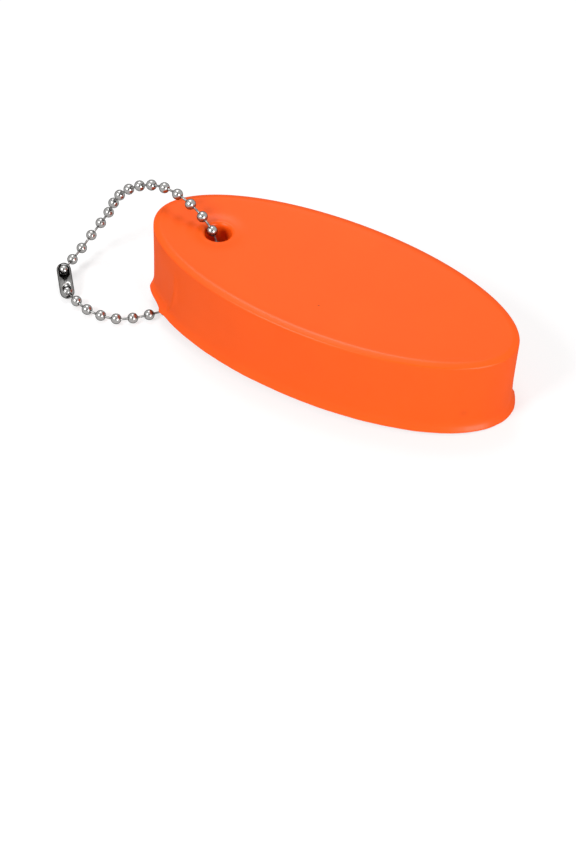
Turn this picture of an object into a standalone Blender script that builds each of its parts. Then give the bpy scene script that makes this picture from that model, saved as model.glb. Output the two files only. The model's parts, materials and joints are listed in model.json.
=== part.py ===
"""Floating keychain: an oval foam float with a ball chain through the hole near one end.

Everything is laid out in the float's own frame, in metres. The origin is the centre of the
float's base, +X runs along the float away from the hole, +Y across it and +Z up. The float
then leans on the chain that passes under it, with its base lip on the ground at one point of
the far side, and the whole is turned so that the ground is level.
"""

import math

import bmesh
import bpy
import numpy as np
from mathutils import Matrix, Vector

MM = 0.001

# The foam float, an ellipse in plan
FLOAT_LENGTH = 86.5 * MM
FLOAT_WIDTH = 38.2 * MM
FLOAT_HEIGHT = 17.95 * MM
WALL_DRAFT = math.radians(0.8)
LIP_REACH = 0.9 * MM
LIP_EDGE = 0.5 * MM
LIP_THICKNESS = 0.9 * MM
LIP_ROOT = 0.22 * MM
LIP_FILLET = 0.9 * MM
LIP_LAND = 2.4 * MM
RIM_BAND = 1.5 * MM
RIM_DROP = 1.1 * MM
RIM_CORNER = 0.25
RIM_FLATNESS = 0.35
RIM_STEPS = 4
TOP_DISH = 0.4 * MM
TOP_RINGS = (0.72, 0.36)
FLOAT_SEGMENTS = 56

# The hole through it
HOLE_FROM_END = 15.25 * MM
HOLE_DIAMETER = 5.8 * MM
HOLE_MOUTH_ROUND = 0.8 * MM
HOLE_SEGMENTS = 20

# The shallow press mark where the chain comes out from under the float
PRESS_WIDTH = math.radians(13)
PRESS_DEPTH = 0.55 * MM
PRESS_LIFT = 0.7 * MM

# The ball chain: hollow beads on short wires, each wire with a head inside either bead. Beads
# are counted from the coupling's low end. The float hides HIDDEN_BEADS, on their way under it
# and up the hole.
BEAD_COUNT = 31
HIDDEN_BEADS = range(7, 15)
BEAD_DIAMETER = 2.4 * MM
BEAD_WALL = 0.22 * MM
BEAD_SEGMENTS = 10
BEAD_SPACING = 1.32 * MM
WIRE_DIAMETER = 0.5 * MM
WIRE_SEGMENTS = 6
MOUTH_CLEARANCE = 0.12 * MM
HEAD_OVER_MOUTH = 0.04 * MM
HEAD_PLAY = 0.07 * MM

# The folded sleeve that joins the chain's two end beads
COUPLING_WALL = 0.25 * MM
COUPLING_PLAY = 0.17 * MM
COUPLING_SPAN = 5.97 * MM
COUPLING_SEGMENTS = 16
WINDOW_WIDTH = 2.5 * MM
WINDOW_CROWN_WIDTH = 1.4 * MM
WINDOW_CROWN_ABOVE_BEAD = 1.0 * MM
WINDOW_SHOULDER_ABOVE_MIDDLE = 0.75 * MM
WINDOW_APEX_BELOW_MIDDLE = 1.05 * MM
ROUND_WINDOW_DIAMETER = 2.0 * MM
ROUND_WINDOW_SEGMENTS = 12
WINDOW_FROM_AXIS = 0.2 * MM
SLOT_WIDTH = 0.85 * MM
SLOT_PAST_WIRE = 0.15
SLOT_SEGMENTS = 4
COUPLING_FACE = Vector((0.17, -0.29, 0.94))
COUPLING_RUN = Vector((-3.85, 4.3, 1.51)).normalized()

# How it rests: the gaps between the ground, the chain that lies on it and the float, and the
# direction in plan in which the float leans
SEAT_GAP = 0.05 * MM
FLOAT_ABOVE_CHAIN = 0.19 * MM
LEAN_TOWARDS = math.radians(33)

END_X = -FLOAT_LENGTH / 2
HOLE_X = END_X + HOLE_FROM_END
BEAD_RADIUS = BEAD_DIAMETER / 2
BEAD_HOLLOW = BEAD_RADIUS - BEAD_WALL
PITCH = BEAD_DIAMETER + BEAD_SPACING
MOUTH_DIAMETER = WIRE_DIAMETER + 2 * MOUTH_CLEARANCE
HEAD_DIAMETER = MOUTH_DIAMETER + HEAD_OVER_MOUTH
HEAD_FROM_BEAD_CENTRE = BEAD_HOLLOW - HEAD_DIAMETER / 2 - HEAD_PLAY
COUPLING_BORE = BEAD_RADIUS + COUPLING_PLAY
COUPLING_RADIUS = COUPLING_BORE + COUPLING_WALL
HOLE_PLAY = (HOLE_DIAMETER - BEAD_DIAMETER) / 2

# The lip touches the ground at TOE along the lean, and the chain lifts the base by WEDGE at
# the hole's mouth on the other side
LEAN = Vector((math.cos(LEAN_TOWARDS), math.sin(LEAN_TOWARDS), 0.0))
TOE = math.hypot((FLOAT_LENGTH / 2 + LIP_REACH) * LEAN.x, (FLOAT_WIDTH / 2 + LIP_REACH) * LEAN.y)
WEDGE = BEAD_DIAMETER + SEAT_GAP + FLOAT_ABOVE_CHAIN
LIFTED = HOLE_X * LEAN.x - HOLE_DIAMETER / 2 - HOLE_MOUTH_ROUND
LEAN_ANGLE = math.atan(WEDGE / (TOE - LIFTED))

# The float's wall from the base's flat up. Each row has its reach outwards and its height,
# and how much of the press mark's dent and lift it takes.
WALL_ROWS = (
    (-LIP_LAND, 0.0, 0.0, 0.0),
    (LIP_REACH, 0.0, 0.0, 1.0),
    (LIP_REACH, LIP_EDGE, 0.0, 1.0),
    (LIP_ROOT, LIP_THICKNESS, 0.4, 1.0),
    (0.0, LIP_THICKNESS + LIP_FILLET, 1.0, 0.6),
    (0.0, FLOAT_HEIGHT / 2, 0.5, 0.0),
)

# The chain's route, chosen by hand, from the coupling's low end round to its high end. Across,
# along and over the top are in bead pitches from the float's end beside the hole, and are drawn
# in or let out until the route takes just BEAD_COUNT beads. At the base's mouth and up the hole
# they are shares of the chain's play in the hole, counted from the hole's axis.
COUPLING_LOW_END = (-4.003, -4.286)
LAID_ON_GROUND = ((-2.089, -4.933), (-0.013, -4.717), (1.415, -3.477), (2.332, -2.318), (3.248, -1.24))
ROUND_BASE_MOUTH = (-0.65, -0.95, -0.44)
UP_THE_HOLE = ((0.03, 0.03, 0.145), (0.1, -0.05, 0.4), (0.15, -0.35, 0.6), (0.2, -0.5, 0.78))
OVER_TOP_MOUTH = (-1.06, -0.12, -0.15)
ARCH_OVER_TOP = ((1.93, 0.11, 1.095), (-0.01, 0.35, 1.195), (-1.85, 0.472, 0.37))
FALL_BESIDE_END = (
    (-3.248, 0.472, 0.69),
    (-4.164, 0.512, 0.433),
    (-4.811, -0.054, 0.262),
    (-5.067, -1.159, 0.162),
    (-5.094, -2.183, 0.133),
)
SLACK_LIMITS = (0.5, 1.5)
SLACK_TRIES = 24


def ground_height(x, y):
    """The ground's height below a place in the float's frame, in that frame."""
    return -math.tan(LEAN_ANGLE) * (TOE - x * LEAN.x - y * LEAN.y)


def ellipse_point(angle, offset=0.0, scale=1.0):
    """A point of the float's plan outline, moved out by offset or scaled about the centre."""
    half_x, half_y = FLOAT_LENGTH / 2, FLOAT_WIDTH / 2
    normal = Vector((math.cos(angle) / half_x, math.sin(angle) / half_y)).normalized()
    point = Vector((half_x * math.cos(angle), half_y * math.sin(angle)))
    return point * scale + normal * offset


def press_angle(centres):
    """The plan angle at which the chain goes under the float's edge."""
    under = centres[HIDDEN_BEADS[0]]
    return math.atan2(under.y / FLOAT_WIDTH, under.x / FLOAT_LENGTH) % (2 * math.pi)


def press(angle, at):
    """How strongly the chain presses into the foam at this angle, from 0 to 1."""
    return math.exp(-(((angle - at) / PRESS_WIDTH) ** 2))


def top_height(scale):
    """The height of the dished top at a share of the way from its centre to its rim."""
    return FLOAT_HEIGHT - TOP_DISH * (1 - scale**2)


def rim_rows():
    """(offset, height) of the band round the top, which is rounded at both of its edges."""
    side = Vector((0.0, FLOAT_HEIGHT - RIM_DROP))
    crown = Vector((-RIM_BAND, FLOAT_HEIGHT))
    corner = Vector((-RIM_CORNER * RIM_BAND, FLOAT_HEIGHT - RIM_CORNER * RIM_DROP))
    rows = []
    for step in range(RIM_STEPS + 1):
        share = step / RIM_STEPS
        curve = side * (1 - share) ** 2 + corner * 2 * share * (1 - share) + crown * share**2
        straight = side.lerp(crown, share)
        rows.append(tuple(curve.lerp(straight, RIM_FLATNESS)))
    return rows


def float_rings(pressed_at):
    """The float's rings of points, from the base's flat up over the rim to the dished top."""
    angles = [2 * math.pi * k / FLOAT_SEGMENTS for k in range(FLOAT_SEGMENTS)]
    draft = math.tan(WALL_DRAFT)
    rings = []
    for reach, height, dent, lift in WALL_ROWS:
        lean = draft * height if height > LIP_THICKNESS else 0.0
        ring = []
        for angle in angles:
            pressed = press(angle, pressed_at)
            plan = ellipse_point(angle, reach - lean - PRESS_DEPTH * dent * pressed)
            ring.append((plan.x, plan.y, height + PRESS_LIFT * lift * pressed))
        rings.append(ring)
    lean = draft * (FLOAT_HEIGHT - RIM_DROP)
    for reach, height in rim_rows():
        plans = [ellipse_point(a, reach - lean) for a in angles]
        rings.append([(p.x, p.y, height) for p in plans])
    for scale in TOP_RINGS:
        plans = [ellipse_point(a, scale=scale) for a in angles]
        rings.append([(p.x, p.y, top_height(scale)) for p in plans])
    return rings


def bridge_rings(mesh, rings, closed=False):
    """Joins each ring of vertices to the next. A ring of one vertex is a pole."""
    pairs = list(zip(rings, rings[1:]))
    if closed:
        pairs.append((rings[-1], rings[0]))
    for low, high in pairs:
        count = max(len(low), len(high))
        for k in range(count):
            after = (k + 1) % count
            corners = [low[k % len(low)], low[after % len(low)]]
            corners += [high[after % len(high)], high[k % len(high)]]
            mesh.faces.new(list(dict.fromkeys(corners)))


def finish_mesh(mesh, name, sharp_angle=math.radians(35)):
    """Turns a bmesh into mesh data with smooth shading and sharp edges kept."""
    bmesh.ops.recalc_face_normals(mesh, faces=mesh.faces)
    data = bpy.data.meshes.new(name)
    mesh.to_mesh(data)
    mesh.free()
    data.shade_smooth()
    data.set_sharp_from_angle(angle=sharp_angle)
    return data


def revolve(profile, segments, name, closed=False, capped=True):
    """Turns a profile of (radius, height) about Z. An open one gets flat caps if capped."""
    mesh = bmesh.new()
    rings = []
    for radius, height in profile:
        turns = [2 * math.pi * k / segments for k in range(segments if radius else 1)]
        rings.append([mesh.verts.new((radius * math.cos(a), radius * math.sin(a), height)) for a in turns])
    bridge_rings(mesh, rings, closed)
    if capped and not closed:
        mesh.faces.new(list(reversed(rings[0])))
        mesh.faces.new(rings[-1])
    return finish_mesh(mesh, name)


def material(name, colour, roughness, metallic):
    made = bpy.data.materials.new(name)
    made.use_nodes = True
    shader = made.node_tree.nodes["Principled BSDF"]
    shader.inputs["Base Color"].default_value = (*colour, 1.0)
    shader.inputs["Roughness"].default_value = roughness
    shader.inputs["Metallic"].default_value = metallic
    made.diffuse_color = (*colour, 1.0)
    return made


def place(name, data, parent, look, matrix=None):
    """A new object with this mesh under a parent, set in the float's frame by matrix."""
    piece = bpy.data.objects.new(name, data)
    bpy.context.scene.collection.objects.link(piece)
    piece.parent = parent
    if matrix is not None:
        piece.matrix_local = matrix
    if look is not None:
        piece.data.materials.clear()
        piece.data.materials.append(look)
    return piece


def empty(name, parent=None, location=(0, 0, 0)):
    made = bpy.data.objects.new(name, None)
    bpy.context.scene.collection.objects.link(made)
    made.parent = parent
    made.location = location
    made.empty_display_size = HOLE_DIAMETER
    return made


def combine(name, data, parent, target, matrix=None, operation="DIFFERENCE"):
    """Cuts a hidden helper's shape from target, or joins it on."""
    helper = place(name, data, parent, None, matrix)
    helper.hide_render = True
    helper.display_type = "WIRE"
    step = target.modifiers.new(name, "BOOLEAN")
    step.operation = operation
    step.solver = "EXACT"
    step.object = helper


def hole_profile():
    """The hole's cutter: straight, with a rounded mouth at the base and one at the dished top."""
    radius, mouth = HOLE_DIAMETER / 2, HOLE_MOUTH_ROUND
    dished = top_height(abs(HOLE_X) / (FLOAT_LENGTH / 2))
    quarter = [math.radians(a) for a in (0, 30, 60, 90)]
    low = [(radius + mouth * (1 - math.sin(a)), mouth * (1 - math.cos(a))) for a in quarter]
    high = [(r, dished - z) for r, z in reversed(low)]
    over = HOLE_MOUTH_ROUND
    return [(low[0][0], -over)] + low + high + [(high[-1][0], FLOAT_HEIGHT + over)]


def make_float(parent, centres):
    """The slab of foam, with the hole cut through it."""
    mesh = bmesh.new()
    rings = [[mesh.verts.new(p) for p in ring] for ring in float_rings(press_angle(centres))]
    bridge_rings(mesh, rings)
    mesh.faces.new(list(reversed(rings[0])))
    centre = mesh.verts.new((0, 0, top_height(0)))
    top = rings[-1]
    for k in range(FLOAT_SEGMENTS):
        mesh.faces.new((top[k], top[(k + 1) % FLOAT_SEGMENTS], centre))
    foam = material("orange_foam", (0.991, 0.147, 0.036), 0.45, 0.0)
    piece = place("float", finish_mesh(mesh, "float"), parent, foam)
    bore = revolve(hole_profile(), HOLE_SEGMENTS, "float_hole")
    combine("float_hole_cutter", bore, parent, piece, Matrix.Translation((HOLE_X, 0, 0)))
    return piece


def smooth_curve(knots, steps=24):
    """A centripetal Catmull-Rom curve through the knots, as a dense list of points."""
    knots = np.asarray(knots, float)
    before, after = 2 * knots[0] - knots[1], 2 * knots[-1] - knots[-2]
    points = np.vstack([before, knots, after])
    gaps = np.sqrt(np.linalg.norm(np.diff(points, axis=0), axis=1))
    at = np.concatenate([[0.0], np.cumsum(gaps)])

    def between(a, b, low, high, value):
        return a + (b - a) * (value - low) / (high - low)

    curve = []
    for i in range(1, len(points) - 2):
        for value in np.linspace(at[i], at[i + 1], steps, endpoint=False):
            first = [between(points[j], points[j + 1], at[j], at[j + 1], value) for j in (i - 1, i, i + 1)]
            second = [between(first[j], first[j + 1], at[i - 1 + j], at[i + 1 + j], value) for j in (0, 1)]
            curve.append(between(second[0], second[1], at[i], at[i + 1], value))
    curve.append(knots[-1])
    return np.array(curve)


def route_knots(slack):
    """The hand-chosen route in the float's frame. The slack scales it outside the hole."""
    loose = PITCH * slack
    low_x, low_y = END_X + COUPLING_LOW_END[0] * loose, COUPLING_LOW_END[1] * loose
    low = Vector((low_x, low_y, ground_height(low_x, low_y) + COUPLING_RADIUS + SEAT_GAP))
    knots = [low]
    for from_end, across in LAID_ON_GROUND:
        x, y = END_X + from_end * loose, across * loose
        knots.append((x, y, ground_height(x, y) + BEAD_RADIUS + SEAT_GAP))
    x_share, y_share, drop = ROUND_BASE_MOUTH
    knots.append((HOLE_X + x_share * HOLE_PLAY, y_share * HOLE_PLAY, drop * BEAD_RADIUS))
    for x_share, y_share, up in UP_THE_HOLE:
        knots.append((HOLE_X + x_share * HOLE_PLAY, y_share * HOLE_PLAY, FLOAT_HEIGHT * up))
    x_share, y_share, over = OVER_TOP_MOUTH
    at_mouth = FLOAT_HEIGHT + over * BEAD_RADIUS
    knots.append((HOLE_X + x_share * HOLE_PLAY, y_share * HOLE_PLAY, at_mouth))
    for from_end, across, over in ARCH_OVER_TOP:
        knots.append((END_X + from_end * loose, across * loose, FLOAT_HEIGHT + over * loose))
    summit = max(z for _, _, z in knots)
    for from_end, across, share in FALL_BESIDE_END:
        x, y = END_X + from_end * loose, across * loose
        ground = ground_height(x, y)
        knots.append((x, y, ground + share * (summit - ground)))
    knots.append(low + COUPLING_RUN * COUPLING_SPAN)
    return knots


def route_lengths(curve):
    """How far along the curve each of its points lies."""
    return np.concatenate([[0.0], np.cumsum(np.linalg.norm(np.diff(curve, axis=0), axis=1))])


def chain_route():
    """The route with the slack at which it is as long as the chain."""
    low, high = SLACK_LIMITS
    for _ in range(SLACK_TRIES):
        slack = (low + high) / 2
        curve = smooth_curve(route_knots(slack))
        if route_lengths(curve)[-1] > (BEAD_COUNT - 1) * PITCH:
            high = slack
        else:
            low = slack
    return curve


def bead_centres():
    """Bead centres at an even spacing of one pitch along the route."""
    curve = chain_route()
    along = route_lengths(curve)
    at = np.linspace(0.0, along[-1], BEAD_COUNT)
    return [Vector([np.interp(value, along, curve[:, axis]) for axis in range(3)]) for value in at]


def bead_axes(centres):
    """The direction of each bead's bore, which halves the chain's bend there."""
    last = len(centres) - 1
    axes = []
    for k in range(last + 1):
        axes.append((centres[min(k + 1, last)] - centres[max(k - 1, 0)]).normalized())
    return axes


def along_axis(direction, location, up=Vector((0, 0, 1))):
    """A matrix that turns +Z to direction and moves the origin to location."""
    z = direction.normalized()
    side = up.cross(z)
    if side.length < 0.05:
        side = Vector((0, 1, 0)).cross(z)
    x = side.normalized()
    y = z.cross(x)
    turn = Matrix((x, y, z)).transposed()
    return Matrix.Translation(location) @ turn.to_4x4()


def bead_mesh(name, open_above=True):
    """A hollow ball about the origin with a mouth below, and one above unless it is closed."""
    mouth = MOUTH_DIAMETER / 2
    outer_mouth, inner_mouth = math.asin(mouth / BEAD_RADIUS), math.asin(mouth / BEAD_HOLLOW)
    top = 1.0 if open_above else 0.0
    outer = np.linspace(outer_mouth * top, math.pi - outer_mouth, 7)
    hollow = np.linspace(math.pi - inner_mouth, inner_mouth * top, 3)
    profile = [(BEAD_RADIUS * math.sin(a), BEAD_RADIUS * math.cos(a)) for a in outer]
    profile += [(BEAD_HOLLOW * math.sin(a), BEAD_HOLLOW * math.cos(a)) for a in hollow]
    return revolve(profile, BEAD_SEGMENTS, name, closed=open_above, capped=False)


def link_mesh(name):
    """A short wire with a round head at each end, lying along Z about the origin."""
    half = PITCH / 2 - HEAD_FROM_BEAD_CENTRE
    head, wire = HEAD_DIAMETER / 2, WIRE_DIAMETER / 2
    nose = math.radians(30)
    neck = math.sqrt(head**2 - wire**2)
    tip = [(head * math.sin(nose), -half - head * math.cos(nose)), (head, -half), (wire, -half + neck)]
    return revolve(tip + [(r, -z) for r, z in reversed(tip)], WIRE_SEGMENTS, name)


def link_matrices(centres, axes):
    """Each link runs through the mouths of the two beads that it joins."""
    made = []
    for k in range(len(centres) - 1):
        start = centres[k] + axes[k] * BEAD_HOLLOW
        end = centres[k + 1] - axes[k + 1] * BEAD_HOLLOW
        made.append(along_axis(end - start, (start + end) / 2))
    return made


def make_chain(parent, centres):
    """All beads and links. A bead that the float hides is one solid with the link above it."""
    steel = material("nickel_plated_steel", (0.62, 0.62, 0.62), 0.18, 1.0)
    wire_steel = material("drawn_wire", (0.55, 0.54, 0.52), 0.25, 1.0)
    axes = bead_axes(centres)
    ball, cupped, link = bead_mesh("bead"), bead_mesh("cupped_bead", open_above=False), link_mesh("link")
    to_parent = Matrix.Translation((-HOLE_X, 0, 0))
    pieces = []
    for k, (centre, axis) in enumerate(zip(centres, axes)):
        matrix = to_parent @ along_axis(axis, centre)
        data = cupped.copy() if k in HIDDEN_BEADS else ball
        pieces.append(place(f"bead_{k + 1:02d}", data, parent, steel, matrix))
    for k, matrix in enumerate(link_matrices(centres, axes)):
        name = f"link_{k + 1:02d}"
        if k in HIDDEN_BEADS:
            combine(name + "_joined", link.copy(), parent, pieces[k], to_parent @ matrix, "UNION")
        else:
            pieces.append(place(name, link, parent, wire_steel, to_parent @ matrix))
    return pieces


def capsule_shell(half, name):
    """A sleeve closed by a dome at each end, open at the poles for the chain's wires."""
    pole = SLOT_WIDTH / 2
    profile = []
    for radius, order in ((COUPLING_RADIUS, 1), (COUPLING_BORE, -1)):
        start = math.asin(pole / radius)
        dome = np.linspace(start, math.pi / 2, 5)
        upper = [(radius * math.sin(a), half + radius * math.cos(a)) for a in dome]
        profile += (upper + [(r, -z) for r, z in reversed(upper)])[::order]
    return revolve(profile, COUPLING_SEGMENTS, name, closed=True)


def prism(outline, near, far, name):
    """A prism along +X between near and far, with its outline given as (y, z) points."""
    mesh = bmesh.new()
    ends = [[mesh.verts.new((x, y, z)) for y, z in outline] for x in (near, far)]
    bridge_rings(mesh, ends)
    mesh.faces.new(list(reversed(ends[0])))
    mesh.faces.new(ends[1])
    return finish_mesh(mesh, name)


def sector(centre, first, last, reach, width, name):
    """A flat slice of a disc round centre, from one direction to another."""
    mesh = bmesh.new()
    normal = first.cross(last).normalized()
    full = first.angle(last)
    turns = [Matrix.Rotation(full * k / SLOT_SEGMENTS, 3, normal) for k in range(SLOT_SEGMENTS + 1)]
    arc = [centre + (turn @ first.normalized()) * reach for turn in turns]
    sides = []
    for shift in (-width / 2, width / 2):
        sides.append([mesh.verts.new(p + normal * shift) for p in [centre] + arc])
    bridge_rings(mesh, sides)
    mesh.faces.new(list(reversed(sides[0])))
    mesh.faces.new(sides[1])
    return finish_mesh(mesh, name)


def make_coupling(parent, centres):
    """The sleeve round the two end beads, with its windows towards +X of its own frame."""
    low, high = centres[0], centres[-1]
    axis = (high - low).normalized()
    frame = along_axis(axis, (low + high) / 2, up=axis.cross(COUPLING_FACE))
    half = (high - low).length / 2
    plate = material("stamped_plate", (0.5, 0.5, 0.5), 0.3, 1.0)
    to_parent = Matrix.Translation((-HOLE_X, 0, 0)) @ frame
    piece = place("coupling", capsule_shell(half, "coupling"), parent, plate, to_parent)

    upper = [
        (0.0, -WINDOW_APEX_BELOW_MIDDLE),
        (WINDOW_WIDTH / 2, WINDOW_SHOULDER_ABOVE_MIDDLE),
        (WINDOW_WIDTH / 2, half),
        (WINDOW_CROWN_WIDTH / 2, half + WINDOW_CROWN_ABOVE_BEAD),
    ]
    upper += [(-y, z) for y, z in reversed(upper[1:])]
    turns = [2 * math.pi * k / ROUND_WINDOW_SEGMENTS for k in range(ROUND_WINDOW_SEGMENTS)]
    small = ROUND_WINDOW_DIAMETER / 2
    lower = [(small * math.cos(a), small * math.sin(a) - half) for a in turns]
    reach = 2 * COUPLING_RADIUS
    for name, outline in (("bead_window", upper), ("round_window", lower)):
        opening = prism(outline, WINDOW_FROM_AXIS, reach, name)
        combine("coupling_" + name, opening, parent, piece, to_parent)

    into = frame.to_3x3().inverted()
    wire_high = into @ (centres[-2] - high).normalized()
    wire_low = into @ (centres[1] - low).normalized()
    pole, face = Vector((0, 0, 1)), Vector((1, 0, 0))
    slots = (
        ("coupling_high_slot", half, pole, wire_high),
        ("coupling_low_slot", -half, (face - pole).normalized(), wire_low),
    )
    for name, z, start, wire in slots:
        beyond = start.lerp(wire, 1 + SLOT_PAST_WIRE).normalized()
        slot = sector(Vector((0, 0, z)), start, beyond, reach, SLOT_WIDTH, name)
        combine(name, slot, parent, piece, to_parent)
    return piece


def stand_on_origin(root, pieces):
    """Moves the root so that the box round all pieces stands on the origin."""
    bpy.context.view_layer.update()
    graph = bpy.context.evaluated_depsgraph_get()
    corners = []
    for piece in pieces:
        shown = piece.evaluated_get(graph)
        mesh = shown.to_mesh()
        corners += [shown.matrix_world @ vertex.co for vertex in mesh.vertices]
        shown.to_mesh_clear()
    spans = [(min(p[axis] for p in corners), max(p[axis] for p in corners)) for axis in range(3)]
    root.location -= Vector((sum(spans[0]) / 2, sum(spans[1]) / 2, spans[2][0]))
    bpy.context.view_layer.update()


def main():
    for thing in list(bpy.data.objects):
        bpy.data.objects.remove(thing, do_unlink=True)
    root = empty("rest_pose")
    root.rotation_euler = Matrix.Rotation(LEAN_ANGLE, 3, Vector((-LEAN.y, LEAN.x, 0))).to_euler()
    swing = empty("chain_swing_axis", root, (HOLE_X, 0, 0))
    centres = bead_centres()
    pieces = [make_float(root, centres)]
    pieces += make_chain(swing, centres)
    pieces.append(make_coupling(swing, centres))
    stand_on_origin(root, pieces)


main()
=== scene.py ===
"""Looks of the floating keychain: a foam float, a nickel-plated ball chain and its coupling."""

import json
import math

import bmesh
import bpy
from bpy.props import FloatProperty, FloatVectorProperty, IntProperty, PointerProperty
from mathutils import Matrix, Vector, noise


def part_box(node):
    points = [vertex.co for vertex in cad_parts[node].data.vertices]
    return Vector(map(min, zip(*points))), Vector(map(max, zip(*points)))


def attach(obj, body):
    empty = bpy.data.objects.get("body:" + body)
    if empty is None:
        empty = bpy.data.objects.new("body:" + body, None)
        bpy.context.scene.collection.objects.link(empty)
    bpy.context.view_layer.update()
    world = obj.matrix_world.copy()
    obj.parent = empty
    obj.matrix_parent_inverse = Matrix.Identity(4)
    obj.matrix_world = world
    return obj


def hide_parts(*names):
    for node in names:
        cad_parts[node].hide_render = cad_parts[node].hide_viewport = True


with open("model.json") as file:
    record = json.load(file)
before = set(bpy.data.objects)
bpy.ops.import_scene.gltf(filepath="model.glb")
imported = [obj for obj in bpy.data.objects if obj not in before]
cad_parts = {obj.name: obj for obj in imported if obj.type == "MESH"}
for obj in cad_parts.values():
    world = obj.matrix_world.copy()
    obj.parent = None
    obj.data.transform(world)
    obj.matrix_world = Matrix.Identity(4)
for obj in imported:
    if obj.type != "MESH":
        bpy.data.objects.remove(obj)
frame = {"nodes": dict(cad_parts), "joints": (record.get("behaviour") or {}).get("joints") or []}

bl_info = {
    "name": "Floating Keychain",
    "version": (1, 0, 0),
    "blender": (4, 5, 0),
    "location": "View3D > Sidebar > Key Float",
    "description": "Builds a foam key float with its ball chain and a plain studio round it",
    "category": "Add Mesh",
}

MM = 0.001

# The swing joint's axis is the hole's own, so it gives the float's lean and the hole's place
SWING = frame["joints"][0]
HOLE_AT_BASE = Vector(SWING["pos_m"])
FLOAT_UP = Vector(SWING["axis"]).normalized()
LEAN = Vector((0, 0, 1)).rotation_difference(FLOAT_UP).to_matrix()

FLOAT_BODY, CHAIN_BODY = "float", "chain"
BEAD_NODES = sorted(name for name in frame["nodes"] if name.startswith("bead_"))
LINK_NODES = sorted(name for name in frame["nodes"] if name.startswith("link_"))


def size(name, about, default):
    """A length that a user may change, in metres."""
    return FloatProperty(
        name=name, description=about, default=default, min=0.0, precision=5, unit="LENGTH"
    )


def power(name, about, default):
    """A lamp's power that a user may change, in watts."""
    return FloatProperty(name=name, description=about, default=default, min=0.0, unit="POWER")


def slant(name, about, degrees):
    """An angle that a user may change."""
    return FloatProperty(
        name=name, description=about, default=math.radians(degrees), subtype="ANGLE"
    )


def tint(name, about, default):
    """A colour that a user may change."""
    return FloatVectorProperty(
        name=name, description=about, default=default, size=3, min=0.0, max=1.0, subtype="COLOR"
    )


def brightness(name, about, default):
    """A light's strength that a user may change."""
    return FloatProperty(
        name=name, description=about, default=default, min=0.0, max=4.0, subtype="FACTOR"
    )


def count(name, about, default):
    """A whole number that a user may change."""
    return IntProperty(name=name, description=about, default=default, min=3, max=512)


class FoamFloatSizes(bpy.types.PropertyGroup):
    """The float's sizes and colour."""

    length: size("Length", "Length of the wall's outline at the base", 86.5 * MM)
    width: size("Width", "Width of the wall's outline at the base", 38.4 * MM)
    height: size("Height", "Height of the rim above the base", 17.85 * MM)
    draft: slant("Draft", "How far the wall leans in", 0.8)
    waist: size("Waist", "How far the wall is drawn in at half height", 0.05 * MM)
    dish: size("Dish", "How far the middle of the top lies below its rim", 0.4 * MM)
    band: size("Rim band", "Width of the sloping band round the top", 1.35 * MM)
    drop: size("Rim drop", "Height of the sloping band round the top", 0.47 * MM)
    rim_round: size("Rim rounding", "Length over which the band turns at its edges", 0.4 * MM)
    lip: size("Lip reach", "How far the flash lip stands out of the wall", 1.05 * MM)
    flare: size("Flare", "How far the near wall spreads towards the base", 0.55 * MM)
    flare_height: size("Flare height", "Height at which the near wall starts to spread", 8.0 * MM)
    lip_torn: size("Torn lip", "How far the lip stands out where it is torn off", 0.12 * MM)
    lip_edge: size("Lip edge", "Height of the lip's outer edge", 0.25 * MM)
    lip_round: size("Lip rounding", "Rounding of the lip's upper edge", 0.12 * MM)
    lip_slope: size("Lip slope", "Height of the lip where it meets the wall", 1.7 * MM)
    lip_land: size("Lip land", "Width of the underside's flat border", 2.4 * MM)
    hole: size("Hole", "Diameter of the hole", 5.8 * MM)
    hole_from_end: size("Hole from end", "From the outline's end to the hole's axis", 15.25 * MM)
    hole_mouth: size("Hole mouth", "Rounding of the hole's mouths", 0.9 * MM)
    lead: size("Lead-in", "Depth of the hollow round the hole's upper mouth", 0.2 * MM)
    lead_width: size("Lead-in width", "Width of that hollow", 1.5 * MM)
    segments: count("Segments", "Points round the outline", 440)
    colour: tint("Foam", "Colour of the foam", (0.99, 0.11, 0.007))


class BallChainSizes(bpy.types.PropertyGroup):
    """The chain's sizes and colour."""

    bead: size("Bead", "Diameter of a bead", 2.4 * MM)
    wall: size("Wall", "Wall of a bead", 0.22 * MM)
    mouth: size("Mouth", "Diameter of a bead's mouths", 0.74 * MM)
    roll: size("Rolled edge", "Rounding of a mouth's edge", 0.06 * MM)
    wire: size("Wire", "Diameter of the wire between beads", 0.5 * MM)
    head: size("Head", "Diameter of the wire's heads", 0.78 * MM)
    head_depth: size("Head depth", "From a bead's middle to the heads inside it", 0.52 * MM)
    segments: count("Segments", "Points round a bead", 28)
    colour: tint("Plating", "Colour of the plating", (0.36, 0.356, 0.348))


class CouplingSizes(bpy.types.PropertyGroup):
    """The sizes of the sleeve that joins the chain's two ends."""

    bore: size("Bore", "Inner radius", 1.37 * MM)
    wall: size("Wall", "Thickness of the plate", 0.25 * MM)
    window: size("Window", "Width of the upper window", 2.5 * MM)
    crown: size("Crown", "Width of the upper window at its top", 1.4 * MM)
    crown_rise: size("Crown rise", "Top of the upper window above the bead's middle", 1.0 * MM)
    shoulder: size("Shoulder", "Where the window starts to narrow, above the middle", 0.75 * MM)
    apex: size("Apex", "Where the window ends in the seam, below the middle", 1.45 * MM)
    round_window: size("Round window", "Diameter of the lower window", 2.0 * MM)
    slot: size("Slot", "Width of the slots that the wires pass through", 0.85 * MM)
    seam: size("Seam", "Gap between the plate's two edges", 0.07 * MM)
    segments: count("Segments", "Points round the sleeve", 64)
    colour: tint("Plate", "Colour of the stamped plate", (0.27, 0.268, 0.262))


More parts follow.
